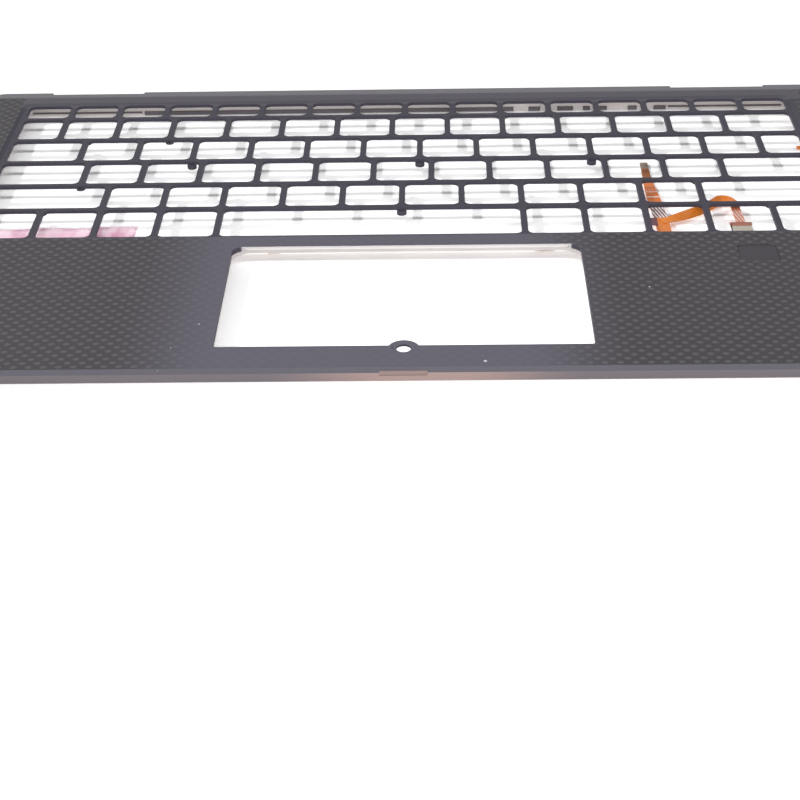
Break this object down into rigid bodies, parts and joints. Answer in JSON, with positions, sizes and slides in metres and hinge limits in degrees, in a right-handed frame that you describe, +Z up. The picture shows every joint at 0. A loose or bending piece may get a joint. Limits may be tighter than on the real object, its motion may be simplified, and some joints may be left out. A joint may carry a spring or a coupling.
{
  "type": "laptop palm rest",
  "caption": "Thin composite laptop upper case with an open key web, touchpad opening, fingerprint tile, bonded metal stiffeners and loose flex ribbons.",
  "frame": {"origin": "middle of the deck's outline, on the plane of the case posts' feet", "axes": "+X along the deck's width to the user's right, +Y from the user towards the hinges, +Z up through the deck's top face"},
  "size_m": [0.304, 0.196, 0.005],
  "materials": {
    "composite": "soft-touch coat over woven carbon fibre",
    "magnesium": "satin beige-grey conversion coat",
    "insert_brass": "knurled, turned",
    "sensor_tile": "fine matte",
    "board": "solder mask",
    "spring_steel": "rolled sheet",
    "connector_body": "moulded nylon",
    "connector_latch": "moulded nylon",
    "polyimide": "amber film over copper tracks",
    "contact_gold": "gold-flashed contact strips",
    "maroon_tape": "film tape",
    "foam": "open foam",
    "pink_film": "thin clear release film",
    "light_guide": "smoky diffuser"
  },
  "bodies": {
    "root": {"deck_panel": "composite", "palm_frame": "magnesium", "rear_rail": "magnesium", "side_rail_left": "magnesium", "side_rail_right": "magnesium", "case_inserts": "insert_brass", "keyboard_inserts": "insert_brass", "hinge_inserts": "insert_brass", "touchpad_inserts": "insert_brass", "fingerprint_sensor": "sensor_tile", "sensor_board": "board", "sensor_bracket": "spring_steel", "bracket_screws": "spring_steel", "sensor_connector": "connector_body", "connector_latch": "connector_latch", "main_flex": "polyimide", "branch_flex": "polyimide", "flex_anchor": "polyimide", "tail_contacts": "contact_gold", "flex_tape": "maroon_tape", "button_flex": "polyimide", "rear_gasket": "foam", "gasket_blocks": "foam", "liner_film": "pink_film", "status_light_guide": "light_guide"}
  },
  "joints": []
}
